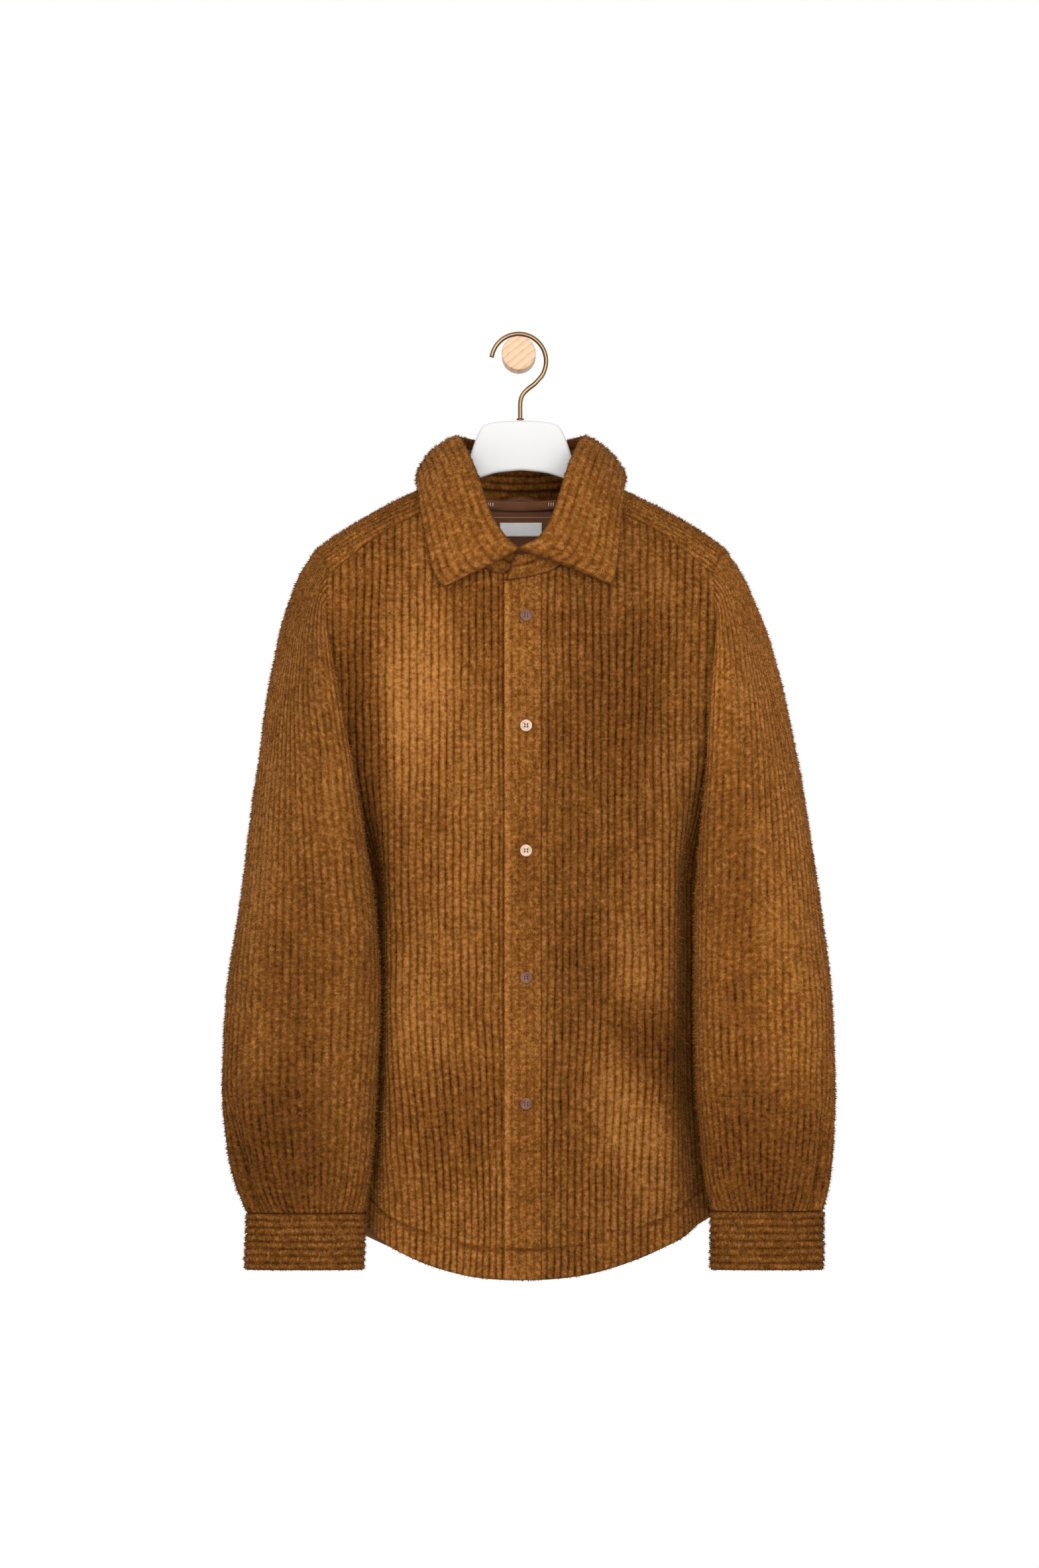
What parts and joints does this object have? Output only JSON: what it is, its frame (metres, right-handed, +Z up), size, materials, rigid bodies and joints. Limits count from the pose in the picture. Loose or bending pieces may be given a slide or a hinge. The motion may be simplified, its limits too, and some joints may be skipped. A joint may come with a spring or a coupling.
{
  "type": "overshirt",
  "caption": "Ribbed shearling overshirt with a turn-down collar, button front and cuffed sleeves, on a flat coat hanger hooked over a round wooden wall peg.",
  "frame": {"origin": "centre of the peg's back face, where it meets the wall", "axes": "+Y into the wall along the peg, +Z up, +X to the viewer's right"},
  "size_m": [0.5785, 0.2132, 0.8979],
  "materials": {
    "ribbed_fur": "sheared ribbed pile, matt",
    "suede": "napped suede",
    "label_cloth": "plain woven",
    "button_horn": "polished",
    "hanger_white": "satin",
    "aged_brass": "aged",
    "peg_wood": "bare, sanded"
  },
  "bodies": {
    "root": {"front_under": "ribbed_fur", "front_top": "ribbed_fur", "placket": "ribbed_fur", "back": "ribbed_fur", "yoke": "ribbed_fur", "sleeve_l": "ribbed_fur", "sleeve_r": "ribbed_fur", "cuff_l": "ribbed_fur", "cuff_r": "ribbed_fur", "collar_leaf": "ribbed_fur", "collar_stand": "ribbed_fur", "neck_facing": "suede", "hanger_loop": "suede", "neck_label": "label_cloth", "hanger_board": "hanger_white", "hanger_hook": "aged_brass", "wall_peg": "peg_wood", "button_1": "button_horn", "button_2": "button_horn", "button_3": "button_horn", "button_4": "button_horn", "button_5": "button_horn"}
  },
  "joints": []
}
